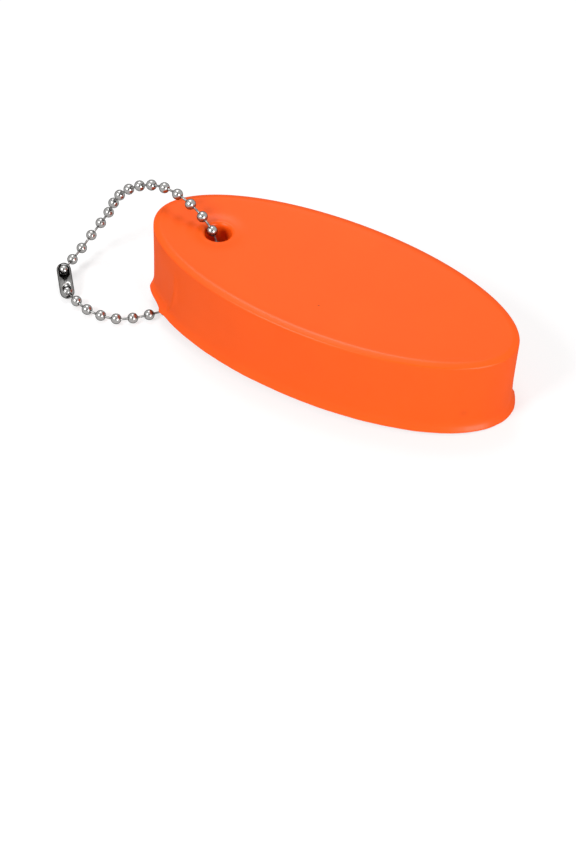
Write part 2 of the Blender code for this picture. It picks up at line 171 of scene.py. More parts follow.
class StudioSettings(bpy.types.PropertyGroup):
    """The plain studio."""

    ambient: brightness("Ambient", "Strength of the light from all round", 0.37)
    overhead: power("Overhead light", "Power of the softbox above", 1.35)
    front: power("Front light", "Power of the softbox at the front left", 2.4)
    side: power("Side light", "Power of the softbox at the right", 2.4)
    card: size("Dark card", "Width of the black card behind the camera", 0.3)
    reach: size("Floor", "Width of the floor", 6.0)


def float_frame():
    """The matrix from the float's own frame, with its base's centre at the origin, to the world."""
    sizes = bpy.context.scene.foam_float
    hole_x = sizes.hole_from_end - sizes.length / 2
    return Matrix.Translation(HOLE_AT_BASE - LEAN @ Vector((hole_x, 0, 0))) @ LEAN.to_4x4()


# Meshes


def finished_object(name, mesh):
    """A smooth-shaded object at the origin made from a bmesh in world coordinates."""
    data = bpy.data.meshes.new(name)
    mesh.to_mesh(data)
    mesh.free()
    data.shade_smooth()
    piece = bpy.data.objects.new(name, data)
    bpy.context.scene.collection.objects.link(piece)
    return piece


def bridge(mesh, low, high):
    """Quads between two rings of vertices, or triangles where one ring is a single point."""
    steps = max(len(low), len(high))
    for k in range(steps):
        after = (k + 1) % steps
        corners = [low[k % len(low)], low[after % len(low)]]
        corners += [high[after % len(high)], high[k % len(high)]]
        mesh.faces.new(list(dict.fromkeys(corners)))


def revolved(profile, segments, closed=False):
    """A bmesh made by turning (radius, height) points about Z, with poles at radius zero."""
    mesh = bmesh.new()
    rows = []
    for radius, height in profile:
        ring = []
        for k in range(segments if radius > 0 else 1):
            a = 2 * math.pi * k / segments
            ring.append(mesh.verts.new((radius * math.cos(a), radius * math.sin(a), height)))
        rows.append(ring)
    pairs = list(zip(rows, rows[1:]))
    if closed:
        pairs.append((rows[-1], rows[0]))
    for low, high in pairs:
        bridge(mesh, low, high)
    bmesh.ops.recalc_face_normals(mesh, faces=mesh.faces)
    return mesh


def circle(centre, radius, steps):
    """Points round a circle in a profile plane."""
    turns = [2 * math.pi * k / steps for k in range(steps)]
    return [(centre[0] + radius * math.cos(a), centre[1] + radius * math.sin(a)) for a in turns]


def rounded_corner(before, corner, after, length, steps):
    """Points that turn a profile's corner over a length on either side of it."""
    corner = Vector(corner)
    start = corner + (Vector(before) - corner).normalized() * length
    end = corner + (Vector(after) - corner).normalized() * length
    points = []
    for k in range(steps + 1):
        t = k / steps
        points.append(start * (1 - t) ** 2 + corner * 2 * t * (1 - t) + end * t * t)
    return points


# Materials


def new_material(name):
    """A node material and its Principled shader."""
    made = bpy.data.materials.new(name)
    made.use_nodes = True
    return made, made.node_tree.nodes["Principled BSDF"]


def add_node(tree, kind, **values):
    """A node with the given sockets set."""
    node = tree.nodes.new(kind)
    for socket, value in values.items():
        node.inputs[socket.replace("_", " ")].default_value = value
    return node


# Two dark specks on the top and a faint dark patch low on the near wall: place, radius, strength.
# Each is darkest over its core, a share of its radius.
MARKS = (
    ((12.43 * MM, -8.97 * MM, 19.3 * MM), 0.3 * MM, 0.6),
    ((2.66 * MM, -0.65 * MM, 19.35 * MM), 0.22 * MM, 0.35),
    ((47.0 * MM, -9.4 * MM, 5.3 * MM), 1.4 * MM, 0.14),
)
MARK_CORE = 0.3
MARK_COLOUR = (0.09, 0.012, 0.003, 1)

# The red, green and blue of the foam's deeper patches, as shares of its colour
FOAM_DEPTHS = (0.97, 0.95, 0.93)

# The roughness of each finish, and the shares of it between which wear makes it vary
BEAD_ROUGHNESS, WIRE_ROUGHNESS, PLATE_ROUGHNESS = 0.24, 0.34, 0.26
WEAR_LOW, WEAR_HIGH = 0.7, 1.4

# The wire's colour as a share of the beads', and the tint of plated metal where it turns away
WIRE_SHADE = 0.7
METAL_EDGE = (0.05, 0.05, 0.05, 1)


def marked_colour(tree, position, colour):
    """Darkens a colour output at the marks."""
    for place, radius, strength in MARKS:
        away = tree.nodes.new("ShaderNodeVectorMath")
        away.operation = "DISTANCE"
        away.inputs[1].default_value = place
        mask = tree.nodes.new("ShaderNodeMapRange")
        mask.inputs["From Min"].default_value = radius * MARK_CORE
        mask.inputs["From Max"].default_value = radius
        mask.inputs["To Min"].default_value = strength
        mask.inputs["To Max"].default_value = 0.0
        blend = tree.nodes.new("ShaderNodeMixRGB")
        blend.inputs["Color2"].default_value = MARK_COLOUR
        tree.links.new(position, away.inputs[0])
        tree.links.new(away.outputs["Value"], mask.inputs["Value"])
        tree.links.new(mask.outputs["Result"], blend.inputs["Fac"])
        tree.links.new(colour, blend.inputs["Color1"])
        colour = blend.outputs["Color"]
    return colour


def foam_material():
    """Closed-cell foam with a smooth moulded skin."""
    made, shader = new_material("orange_foam")
    colour = bpy.context.scene.foam_float.colour
    tree = made.node_tree
    shader.inputs["Roughness"].default_value = 0.5
    shader.inputs["Specular IOR Level"].default_value = 0.0
    shader.inputs["Coat Weight"].default_value = 0.12
    shader.inputs["Coat Roughness"].default_value = 0.33
    shader.inputs["Coat IOR"].default_value = 2.4
    coords = tree.nodes.new("ShaderNodeTexCoord")
    cloud = add_node(tree, "ShaderNodeTexNoise", Scale=90.0, Detail=3.0, Roughness=0.55)
    ramp = tree.nodes.new("ShaderNodeValToRGB")
    deep, plain = ramp.color_ramp.elements
    deep.position, plain.position = 0.3, 0.7
    deep.color = (*(part * depth for part, depth in zip(colour, FOAM_DEPTHS)), 1)
    plain.color = (*colour, 1)
    tree.links.new(coords.outputs["Object"], cloud.inputs["Vector"])
    tree.links.new(cloud.outputs["Fac"], ramp.inputs["Fac"])
    colour = marked_colour(tree, coords.outputs["Object"], ramp.outputs["Color"])
    tree.links.new(colour, shader.inputs["Base Color"])
    skin = add_node(tree, "ShaderNodeTexNoise", Scale=1500.0, Detail=4.0, Roughness=0.6)
    bump = add_node(tree, "ShaderNodeBump", Strength=0.25, Distance=0.03 * MM)
    tree.links.new(coords.outputs["Object"], skin.inputs["Vector"])
    tree.links.new(skin.outputs["Fac"], bump.inputs["Height"])
    tree.links.new(bump.outputs["Normal"], shader.inputs["Normal"])
    return made


def plated_material(name, colour, roughness):
    """Bright nickel plate, a little duller in places and darker where it turns away."""
    made, shader = new_material(name)
    tree = made.node_tree
    shader.inputs["Base Color"].default_value = (*colour, 1)
    shader.inputs["Metallic"].default_value = 1.0
    shader.inputs["Specular Tint"].default_value = METAL_EDGE
    coords = tree.nodes.new("ShaderNodeTexCoord")
    wear = add_node(tree, "ShaderNodeTexNoise", Scale=900.0, Detail=4.0, Roughness=0.6)
    spread = tree.nodes.new("ShaderNodeMapRange")
    spread.inputs["To Min"].default_value = roughness * WEAR_LOW
    spread.inputs["To Max"].default_value = roughness * WEAR_HIGH
    tree.links.new(coords.outputs["Object"], wear.inputs["Vector"])
    tree.links.new(wear.outputs["Fac"], spread.inputs["Value"])
    tree.links.new(spread.outputs["Result"], shader.inputs["Roughness"])
    return made


# The float

# Where the lip, the wall's flare and the forms beside the chain start, end or change: places
# round the float in degrees from the end without the hole, each with the width of the change
NEAR_LIP_END, NEAR_LIP_START = (18.5, 0.35), (195.3, 1.1)
FAR_LIP_START, FAR_LIP_END = (36.0, 2.0), (166.0, 2.5)
FLARE_START, FLARE_HALVES = (226.0, 2.5), (330.0, 6.0)
LIP_TONGUE, LIP_NICK, DENT_START = (217.5, 1.5), (215.3, 1.1), (203.0, 2.6)

# The lip: its share of reach on the far side, the unevenness of its edge as (depth, fineness),
# and how far its tongue and nick beside the chain go out and in
FAR_LIP_SHARE = 0.6
LIP_WAVES = ((0.09 * MM, 7), (0.04 * MM, 31))
TONGUE_REACH, NICK_DEPTH = 0.26 * MM, 0.12 * MM

# The chain goes under the float here and lifts the lip
CHAIN_SIDE = math.radians(215.3)
LIFT, LIFT_WIDTH, LIFT_HEIGHT = 0.35 * MM, math.radians(2.4), 1.6 * MM

# The dent beside the chain ends in a ridge, at a place in degrees from which it sweeps back in
# the first millimetres above the base. Both fade out at a height in millimetres.
RIDGE_AT, RIDGE_SWEEP, RIDGE_RISE, RIDGE_WIDTH = 224.5, 8.5, 2.6, 1.35
DENT_FROM_RIDGE, DENT_EDGE, DENT_TOP = 3.0, 0.9, (11.0, 1.3)
RIDGE_REACH, DENT_DEPTH = 0.34 * MM, 0.4 * MM

# The wall's profile: the top's run and its fall, as a share of the dish, just inside the rim,
# and the height above the lip at which its rounding starts, with the lip's own roundings
TOP_RUN, TOP_FALL = 3 * MM, 0.25
LIP_FOOT, LIP_FOOT_ROUND, LIP_BASE_ROUND = 1.1 * MM, 0.9 * MM, 0.1 * MM

# Rows of points over the float's mesh, which crowd towards the hole on the top
RIM_STEPS, LIP_FOOT_STEPS, LIP_EDGE_STEPS, LIP_BASE_STEPS = 8, 7, 4, 3
MOUTH_ROWS, TOP_ROWS, WALL_ROWS = 12, 30, 26
BASE_ROWS, BASE_MOUTH_ROWS, SHAFT_ROWS = 14, 8, 10
TOP_CROWDING = 1.6


def outline_point(sizes, angle, offset):
    """A point of the float's plan outline, moved outwards by offset."""
    half_x, half_y = sizes.length / 2, sizes.width / 2
    normal = Vector((math.cos(angle) / half_x, math.sin(angle) / half_y)).normalized()
    return Vector((half_x * math.cos(angle), half_y * math.sin(angle))) + normal * offset


def swell(value, middle, width):
    """A smooth bump of height one."""
    return math.exp(-(((value - middle) / width) ** 2))


def soft_step(value, at, width):
    """Rises from zero to one round a value."""
    return 1 / (1 + math.exp(-(value - at) / width))


def wall_profile(sizes):
    """(offset, height, lip share) from the top's edge down the wall and round the lip."""
    lean_in = math.tan(sizes.draft)
    shoulder = sizes.height - sizes.drop
    at_wall = Vector((-lean_in * shoulder, shoulder))
    at_top = Vector((at_wall.x - sizes.band, sizes.height))
    inwards = Vector((at_top.x - TOP_RUN, sizes.height - sizes.dish * TOP_FALL))
    foot = Vector((-lean_in * sizes.lip_slope, sizes.lip_slope))
    profile = rounded_corner(inwards, at_top, at_wall, sizes.rim_round, RIM_STEPS)
    profile += rounded_corner(at_top, at_wall, foot, sizes.rim_round, RIM_STEPS)
    high, low = profile[-1].y, sizes.lip_slope + LIP_FOOT
    for k in range(1, WALL_ROWS):
        height = high + (low - high) * k / WALL_ROWS
        profile.append(Vector((-lean_in * height, height)))
    profile = [(point.x, point.y, 0.0) for point in profile]
    above = Vector((-lean_in * low, low))
    tip, base = Vector((sizes.lip, sizes.lip_edge)), Vector((sizes.lip, 0.0))
    lip = rounded_corner(above, foot, tip, LIP_FOOT_ROUND, LIP_FOOT_STEPS)
    lip += rounded_corner(foot, tip, base, sizes.lip_round, LIP_EDGE_STEPS)
    lip += rounded_corner(tip, base, (0.0, 0.0), LIP_BASE_ROUND, LIP_BASE_STEPS)
    profile += [(0.0, point.y, point.x / sizes.lip) for point in lip]
    profile.append((-sizes.lip_land, 0.0, 0.0))
    return profile


def flare_share(angle):
    """The wall's share of its flare: all on the near side, half at the end without the hole."""
    turn = math.degrees(angle)
    near = soft_step(turn, *FLARE_START) - 0.5 * soft_step(turn, *FLARE_HALVES)
    return near + 0.5 * (1 - soft_step(turn, *NEAR_LIP_END))


def lip_reach(sizes, angle):
    """How far the flash lip stands out. It is torn off at both ends and slimmer on the far side."""
    turn = math.degrees(angle)
    near = 1 - soft_step(turn, *NEAR_LIP_END) + soft_step(turn, *NEAR_LIP_START)
    far = FAR_LIP_SHARE * soft_step(turn, *FAR_LIP_START) * (1 - soft_step(turn, *FAR_LIP_END))
    around = Vector((math.cos(angle), math.sin(angle), 0.0))
    uneven = sum(depth * noise.noise(around * fineness) for depth, fineness in LIP_WAVES)
    beside = TONGUE_REACH * swell(turn, *LIP_TONGUE) - NICK_DEPTH * swell(turn, *LIP_NICK)
    full = sizes.lip - sizes.flare * flare_share(angle)
    return sizes.lip_torn + (full - sizes.lip_torn + uneven + beside) * (near + far)


def lip_lift(angle, height):
    """How far the chain lifts the lip where it goes under the float."""
    return LIFT * swell(angle, CHAIN_SIDE, LIFT_WIDTH) * swell(height, 0.0, LIFT_HEIGHT)


def wall_shift(sizes, angle, height):
    """How far the wall stands out of its plain form: its waist and flare, the ridge and dent."""
    up, turn = height / MM, math.degrees(angle)
    ridge = RIDGE_AT - RIDGE_SWEEP * math.exp(-up / RIDGE_RISE)
    fade = 1 - soft_step(up, *DENT_TOP)
    shift = -sizes.waist * math.sin(math.pi * height / sizes.height)
    shift += sizes.flare * flare_share(angle) * max(0.0, 1 - height / sizes.flare_height) ** 2
    shift += RIDGE_REACH * fade * swell(turn, ridge, RIDGE_WIDTH)
    dent = (1 - soft_step(turn, ridge - DENT_FROM_RIDGE, DENT_EDGE)) * soft_step(turn, *DENT_START)
    return shift - DENT_DEPTH * fade * dent


def float_rows(sizes):
    """Rows of points from the hole over the top, down the wall, under the base and up the hole."""
    turns = [2 * math.pi * k / sizes.segments for k in range(sizes.segments)]
    centre = Vector((sizes.hole_from_end - sizes.length / 2, 0.0))
    radius, mouth = sizes.hole / 2, sizes.hole_mouth
    profile = wall_profile(sizes)
    top_edge, top, _ = profile[0]
    base_edge = profile[-1][0]
    ways = [(outline_point(sizes, angle, top_edge) - centre).normalized() for angle in turns]
    flat_x, flat_y = sizes.length / 2 - sizes.band, sizes.width / 2 - sizes.band

    def hole_row(a, height_at):
        """A row round a mouth of the hole, whose rounding has been followed to angle a."""
        reach, drop = radius + mouth * (1 - math.cos(a)), mouth * (1 - math.sin(a))
        return [(*(centre + way * reach), height_at(way, drop)) for way in ways]

    def dished(plan):
        """The height of the top at a point of the plan."""
        spread = math.hypot(plan.x / flat_x, plan.y / flat_y)
        lead = sizes.lead * swell((plan - centre).length, radius + mouth, sizes.lead_width)
        return top - sizes.dish * max(0.0, 1 - spread**2) - lead

    def below_top(way, drop):
        """The height of a point of the upper mouth's rounding."""
        return dished(centre + way * (radius + mouth)) - drop

    rows = [hole_row(math.pi / 2 * k / MOUTH_ROWS, below_top) for k in range(MOUTH_ROWS + 1)]
    for k in range(1, TOP_ROWS):
        t = (k / TOP_ROWS) ** TOP_CROWDING
        row = []
        for angle, way in zip(turns, ways):
            start = centre + way * (radius + mouth)
            plan = start.lerp(outline_point(sizes, angle, top_edge), t)
            row.append((*plan, dished(plan)))
        rows.append(row)
    for offset, height, share in profile:
        row = []
        for angle in turns:
            out = offset + share * lip_reach(sizes, angle) + wall_shift(sizes, angle, height)
            row.append((*outline_point(sizes, angle, out), height + lip_lift(angle, height)))
        rows.append(row)
    for k in range(1, BASE_ROWS):
        row = []
        for angle, way in zip(turns, ways):
            end = centre + way * (radius + mouth)
            row.append((*outline_point(sizes, angle, base_edge).lerp(end, k / BASE_ROWS), 0.0))
        rows.append(row)
    for k in range(BASE_MOUTH_ROWS + 1):
        a = math.pi / 2 * (1 - k / BASE_MOUTH_ROWS)
        rows.append(hole_row(a, lambda way, drop: drop))
    for k in range(1, SHAFT_ROWS):
        t = k / SHAFT_ROWS
        rows.append([(x, y, mouth + (z - mouth) * t) for x, y, z in rows[0]])
    return rows


def build_float():
    """The foam slab as one closed mesh."""
    to_world = float_frame()
    mesh = bmesh.new()
    rows = [
        [mesh.verts.new(to_world @ Vector(point)) for point in row]
        for row in float_rows(bpy.context.scene.foam_float)
    ]
    for low, high in zip(rows, rows[1:] + rows[:1]):
        bridge(mesh, low, high)
    bmesh.ops.recalc_face_normals(mesh, faces=mesh.faces)
    return finished_object("foam_float", mesh)


# The chain

# Rows of points over a bead's ball, its hollow and a wire's head, and points round a wire
BALL_ROWS, HOLLOW_ROWS, HEAD_ROWS, WIRE_SEGMENTS = 18, 8, 8, 14


def bead_centre(node):
    """A bead's middle. A hidden bead's node also holds the wire above it, towards the next bead."""
    low, high = (Vector(corner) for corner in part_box(node))
    half = bpy.context.scene.ball_chain.bead / 2
    place = BEAD_NODES.index(node)
    if place + 1 == len(BEAD_NODES):
        return (low + high) / 2
    ahead = sum((Vector(corner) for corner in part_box(BEAD_NODES[place + 1])), Vector()) / 2
    at = []
    for i in range(3):
        middle = (low[i] + high[i]) / 2
        spare = max(high[i] - low[i], 2 * half) / 2 - half
        at.append(middle - math.copysign(spare, ahead[i] - middle))
    return Vector(at)


def strung_points(name, places):
    """A point for each (place, direction), which the piece put there will follow."""
    data = bpy.data.meshes.new(name)
    data.from_pydata([place for place, _ in places], [], [])
    ways = data.attributes.new("way", "FLOAT_VECTOR", "POINT")
    for k, (_, way) in enumerate(places):
        ways.data[k].vector = way
    points = bpy.data.objects.new(name, data)
    bpy.context.scene.collection.objects.link(points)
    return points


def stringing_tree():
    """Geometry Nodes that put one pattern piece on every point, turned along the point's way."""
    tree = bpy.data.node_groups.new("string_along_chain", "GeometryNodeTree")
    face = tree.interface
    face.new_socket(name="Geometry", in_out="INPUT", socket_type="NodeSocketGeometry")
    face.new_socket(name="Pattern", in_out="INPUT", socket_type="NodeSocketObject")
    face.new_socket(name="Size", in_out="INPUT", socket_type="NodeSocketFloat")
    face.new_socket(name="Finish", in_out="INPUT", socket_type="NodeSocketMaterial")
    face.new_socket(name="Geometry", in_out="OUTPUT", socket_type="NodeSocketGeometry")
    given = tree.nodes.new("NodeGroupInput")
    made = tree.nodes.new("NodeGroupOutput")
    pattern = tree.nodes.new("GeometryNodeObjectInfo")
    way = tree.nodes.new("GeometryNodeInputNamedAttribute")
    way.data_type = "FLOAT_VECTOR"
    way.inputs["Name"].default_value = "way"
    turn = tree.nodes.new("FunctionNodeAlignRotationToVector")
    turn.axis = "Z"
    place = tree.nodes.new("GeometryNodeInstanceOnPoints")
    real = tree.nodes.new("GeometryNodeRealizeInstances")
    finish = tree.nodes.new("GeometryNodeSetMaterial")
    link = tree.links.new
    link(given.outputs["Geometry"], place.inputs["Points"])
    link(given.outputs["Pattern"], pattern.inputs["Object"])
    link(pattern.outputs["Geometry"], place.inputs["Instance"])
    link(way.outputs["Attribute"], turn.inputs["Vector"])
    link(turn.outputs["Rotation"], place.inputs["Rotation"])
    link(given.outputs["Size"], place.inputs["Scale"])
    link(place.outputs["Instances"], real.inputs["Geometry"])
    link(real.outputs["Geometry"], finish.inputs["Geometry"])
    link(given.outputs["Finish"], finish.inputs["Material"])
    link(finish.outputs["Geometry"], made.inputs["Geometry"])
    return tree


def string_pieces(name, places, pattern, finish):
    """One plain mesh of the pattern repeated at every place."""
    points = strung_points(name + "_points", places)
    tree = bpy.data.node_groups.get("string_along_chain") or stringing_tree()
    step = points.modifiers.new("stringing", "NODES")
    step.node_group = tree
    items = [item for item in tree.interface.items_tree if item.in_out == "INPUT"]
    sockets = {item.name: item.identifier for item in items}
    step[sockets["Pattern"]] = pattern
    step[sockets["Size"]] = 1.0
    step[sockets["Finish"]] = finish
    graph = bpy.context.evaluated_depsgraph_get()
    data = bpy.data.meshes.new_from_object(points.evaluated_get(graph), depsgraph=graph)
    piece = bpy.data.objects.new(name, data)
    bpy.context.scene.collection.objects.link(piece)
    data.name = name
    points.modifiers.remove(step)
    bpy.data.objects.remove(points, do_unlink=True)
    bpy.data.objects.remove(pattern, do_unlink=True)
    return piece


def bead_places():
    """Every bead's middle and the direction of its bore, from the coupling's low end round."""
    centres = [bead_centre(node) for node in BEAD_NODES]
    last = len(centres) - 1
    return [
        (centre, (centres[min(k + 1, last)] - centres[max(k - 1, 0)]).normalized())
        for k, centre in enumerate(centres)
    ]


def wire_places():
    """Every wire's middle and direction, between the mouths of the two beads that it joins."""
    sizes = bpy.context.scene.ball_chain
    pivot = sizes.bead / 2 - sizes.wall
    beads = bead_places()
    places = []
    for (low, low_way), (high, high_way) in zip(beads, beads[1:]):
        start, end = low + low_way * pivot, high - high_way * pivot
        places.append(((start + end) / 2, (end - start).normalized()))
    return places


def bead_pattern():
    """One hollow bead about the origin, with its bore along Z and the mouths' edges rolled."""
    sizes = bpy.context.scene.ball_chain
    outer, inner = sizes.bead / 2, sizes.bead / 2 - sizes.wall
    mouth, roll = sizes.mouth / 2, sizes.roll
    first = math.asin((mouth + roll) / outer)
    turns = [first + (math.pi - 2 * first) * k / BALL_ROWS for k in range(BALL_ROWS + 1)]
    profile = [(mouth, outer * math.cos(first) - roll)]
    profile += [(outer * math.sin(a), outer * math.cos(a)) for a in turns]
    profile.append((mouth, roll - outer * math.cos(first)))
    first = math.asin(mouth / inner)
    span = math.pi - 2 * first
    turns = [math.pi - first - span * k / HOLLOW_ROWS for k in range(HOLLOW_ROWS + 1)]
    profile += [(inner * math.sin(a), inner * math.cos(a)) for a in turns]
    return finished_object("bead_pattern", revolved(profile, sizes.segments, closed=True))


def wire_pattern(length):
    """One wire about the origin along Z, with a round head at each end."""
    sizes = bpy.context.scene.ball_chain
    head, wire = sizes.head / 2, sizes.wire / 2
    neck = math.acos(wire / head)
    span = neck + math.pi / 2
    turns = [-math.pi / 2 + span * k / HEAD_ROWS for k in range(HEAD_ROWS + 1)]
    low = [(max(0.0, head * math.cos(a)), -length / 2 + head * math.sin(a)) for a in turns]
    low[0] = (0.0, low[0][1])
    profile = low + [(radius, -height) for radius, height in reversed(low)]
    return finished_object("wire_pattern", revolved(profile, WIRE_SEGMENTS))


# The coupling

# The side that its windows are on, in the float's own frame, and how near to the sleeve's axis
# they are cut
WINDOW_SIDE = Vector((0.17, -0.29, 0.94))
WINDOW_FROM_AXIS = 0.2 * MM

# How far the slots run past the wires, as a share of the turn from the slot's start to the wire
SLOT_REACH = 1.15

# Rows of points over a dome, and steps along a slot's end and round the lower window
DOME_ROWS, SLOT_STEPS, ROUND_WINDOW_STEPS = 10, 8, 28


def coupling_frame():
    """The matrix of the sleeve's own frame and half the distance between its two beads."""
    low, high = bead_centre(BEAD_NODES[0]), bead_centre(BEAD_NODES[-1])
    z = (high - low).normalized()
    face = LEAN @ WINDOW_SIDE
    x = (face - z * face.dot(z)).normalized()
    turn = Matrix((x, z.cross(x), z)).transposed()
    return Matrix.Translation((low + high) / 2) @ turn.to_4x4(), (high - low).length / 2


def prism(outline, near, far):
    """A closed prism from one X to another with its outline given as (y, z) points."""
    mesh = bmesh.new()
    ends = [[mesh.verts.new((x, y, z)) for y, z in outline] for x in (near, far)]
    bridge(mesh, *ends)
    mesh.faces.new(ends[0])
    mesh.faces.new(list(reversed(ends[1])))
    bmesh.ops.recalc_face_normals(mesh, faces=mesh.faces)
    return mesh


def wedge(centre, first, last, reach, width):
    """A flat slice of a disc round centre, from one direction to another."""
    mesh = bmesh.new()
    normal = first.cross(last).normalized()
    full = first.angle(last)
    tips = []
    for k in range(SLOT_STEPS + 1):
        way = Matrix.Rotation(full * k / SLOT_STEPS, 3, normal) @ first
        tips.append(centre + way * reach)
    sides = []
    for shift in (-width / 2, width / 2):
        sides.append([mesh.verts.new(p + normal * shift) for p in [centre] + tips])
    bridge(mesh, *sides)
    mesh.faces.new(sides[0])
    mesh.faces.new(list(reversed(sides[1])))
    bmesh.ops.recalc_face_normals(mesh, faces=mesh.faces)
    return mesh


def sleeve_mesh(half):
    """The sleeve closed by a dome at each end, open at the poles for the wires."""
    sizes = bpy.context.scene.coupling
    pole = sizes.slot / 2
    profile = []
    for radius, order in ((sizes.bore + sizes.wall, 1), (sizes.bore, -1)):
        start = math.asin(pole / radius)
        span = math.pi / 2 - start
        turns = [start + span * k / DOME_ROWS for k in range(DOME_ROWS + 1)]
        upper = [(radius * math.sin(a), half + radius * math.cos(a)) for a in turns]
        profile += (upper + [(r, -z) for r, z in reversed(upper)])[::order]
    return revolved(profile, sizes.segments, closed=True)


def cut(piece, cutters):
    """Cuts closed meshes out of a piece."""
    helpers = []
    for k, mesh in enumerate(cutters):
        helper = finished_object(f"cutter_{k}", mesh)
        step = piece.modifiers.new(helper.name, "BOOLEAN")
        step.operation = "DIFFERENCE"
        step.solver = "EXACT"
        step.object = helper
        helpers.append(helper)
    graph = bpy.context.evaluated_depsgraph_get()
    data = bpy.data.meshes.new_from_object(piece.evaluated_get(graph), depsgraph=graph)
    piece.modifiers.clear()
    piece.data = data
    for helper in helpers:
        bpy.data.objects.remove(helper, do_unlink=True)


def build_coupling():
    """The stamped sleeve with its two windows, its seam and the wires' slots."""
    sizes = bpy.context.scene.coupling
    to_world, half = coupling_frame()
    piece = finished_object("coupling_sleeve", sleeve_mesh(half))
    upper = [(0.0, -sizes.apex), (sizes.window / 2, sizes.shoulder), (sizes.window / 2, half)]
    upper += [(sizes.crown / 2, half + sizes.crown_rise)]
    upper += [(-y, z) for y, z in reversed(upper[1:])]
    lower = circle((0.0, -half), sizes.round_window / 2, ROUND_WINDOW_STEPS)
    side = sizes.seam / 2
    seam = [(side, -half), (side, 0.0), (-side, 0.0), (-side, -half)]
    reach = 2 * (sizes.bore + sizes.wall)
    into = to_world.to_3x3().inverted()
    beads = [bead_centre(node) for node in BEAD_NODES]
    wire_high = (into @ (beads[-2] - beads[-1])).normalized()
    wire_low = (into @ (beads[1] - beads[0])).normalized()
    pole, face = Vector((0, 0, 1)), Vector((1, 0, 0))
    cutters = [prism(outline, WINDOW_FROM_AXIS, reach) for outline in (upper, lower, seam)]
    for z, start, wire in ((half, pole, wire_high), (-half, (face - pole).normalized(), wire_low)):
        beyond = start.lerp(wire, SLOT_REACH).normalized()
        cutters.append(wedge(Vector((0, 0, z)), start, beyond, reach, sizes.slot))
    cut(piece, cutters)
    piece.data.transform(to_world)
    return piece


# Operators


class KEYFLOAT_OT_float(bpy.types.Operator):
    """Add the foam float"""

    bl_idname = "keyfloat.foam_float"
    bl_label = "Foam Float"

    def execute(self, context):
        piece = build_float()
        piece.data.materials.append(foam_material())
        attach(piece, FLOAT_BODY)
        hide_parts("float")
        return {"FINISHED"}


class KEYFLOAT_OT_beads(bpy.types.Operator):
    """Add the chain's hollow beads"""

    bl_idname = "keyfloat.beads"
    bl_label = "Beads"

    def execute(self, context):
        finish = plated_material("plated_bead", context.scene.ball_chain.colour, BEAD_ROUGHNESS)
        piece = string_pieces("chain_beads", bead_places(), bead_pattern(), finish)
        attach(piece, CHAIN_BODY)
        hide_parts(*BEAD_NODES)
        return {"FINISHED"}


class KEYFLOAT_OT_wires(bpy.types.Operator):
    """Add the short wires between the beads"""

    bl_idname = "keyfloat.wires"
    bl_label = "Wires"

    def execute(self, context):
        sizes = context.scene.ball_chain
        beads = bead_places()
        pitch = (beads[1][0] - beads[0][0]).length
        shade = tuple(WIRE_SHADE * part for part in sizes.colour)
        finish = plated_material("drawn_wire", shade, WIRE_ROUGHNESS)
        pattern = wire_pattern(pitch - 2 * sizes.head_depth)
        piece = string_pieces("chain_wires", wire_places(), pattern, finish)
        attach(piece, CHAIN_BODY)
        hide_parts(*LINK_NODES)
        return {"FINISHED"}


class KEYFLOAT_OT_coupling(bpy.types.Operator):
    """Add the sleeve that joins the chain's two ends"""

    bl_idname = "keyfloat.coupling"
    bl_label = "Coupling"

    def execute(self, context):
        piece = build_coupling()
        colour = context.scene.coupling.colour
        piece.data.materials.clear()
        piece.data.materials.append(plated_material("stamped_plate", colour, PLATE_ROUGHNESS))
        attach(piece, CHAIN_BODY)
        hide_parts("coupling")
        return {"FINISHED"}


# The studio

# The photograph's viewing angle, found by fitting the outlines
CAMERA_AT = Vector((0.139314, -0.239345, 0.257174))
CAMERA_AIM = Vector((0.015769, -0.027732, 0.0))
CAMERA_ROLL = math.radians(-0.475)
LENS, SENSOR_WIDTH = 71.01, 36.0

# Each softbox's place and width in metres
SOFTBOXES = {
    "overhead": ((-0.17, 0.22, 0.57), 0.26),
    "front": ((-0.2, -0.46, 0.44), 0.22),
    "side": ((0.563, -0.263, 0.19), 0.26),
}
CARD_DISTANCE = 0.48
CARD_COLOUR = (0.01, 0.01, 0.01, 1)

# The floor's grey as it lights the object, its grey and its glow as they are seen, and the
# distances from the object between which it fades to plain white
FLOOR_GREY, FLOOR_SEEN, FLOOR_GLOW = (0.45, 0.45, 0.45, 1), (0.42, 0.42, 0.42, 1), 0.62
FLOOR_FADE = (0.09, 0.24)
WHITE = (1, 1, 1, 1)


def place_camera():
    """The camera at the photograph's viewing angle."""
    data = bpy.data.cameras.new("camera")
    data.lens = LENS
    data.sensor_width = SENSOR_WIDTH
    camera = bpy.data.objects.new("camera", data)
    bpy.context.scene.collection.objects.link(camera)
    look = (CAMERA_AIM - CAMERA_AT).to_track_quat("-Z", "Y").to_matrix()
    camera.matrix_world = (
        Matrix.Translation(CAMERA_AT) @ (look @ Matrix.Rotation(CAMERA_ROLL, 3, "Z")).to_4x4()
    )
    bpy.context.scene.camera = camera


def softbox(name, at, width, energy):
    """A square area light that looks at the object."""
    data = bpy.data.lights.new(name, "AREA")
    data.shape = "SQUARE"
    data.size = width
    data.energy = energy
    light = bpy.data.objects.new(name, data)
    bpy.context.scene.collection.objects.link(light)
    light.location = at
    light.rotation_euler = (-Vector(at)).to_track_quat("-Z", "Y").to_euler()
    light.visible_camera = False


def flat_square(name, width, to_world):
    """A square sheet about the origin, put in place by a matrix."""
    mesh = bmesh.new()
    bmesh.ops.create_grid(mesh, x_segments=1, y_segments=1, size=width / 2)
    mesh.transform(to_world)
    return finished_object(name, mesh)


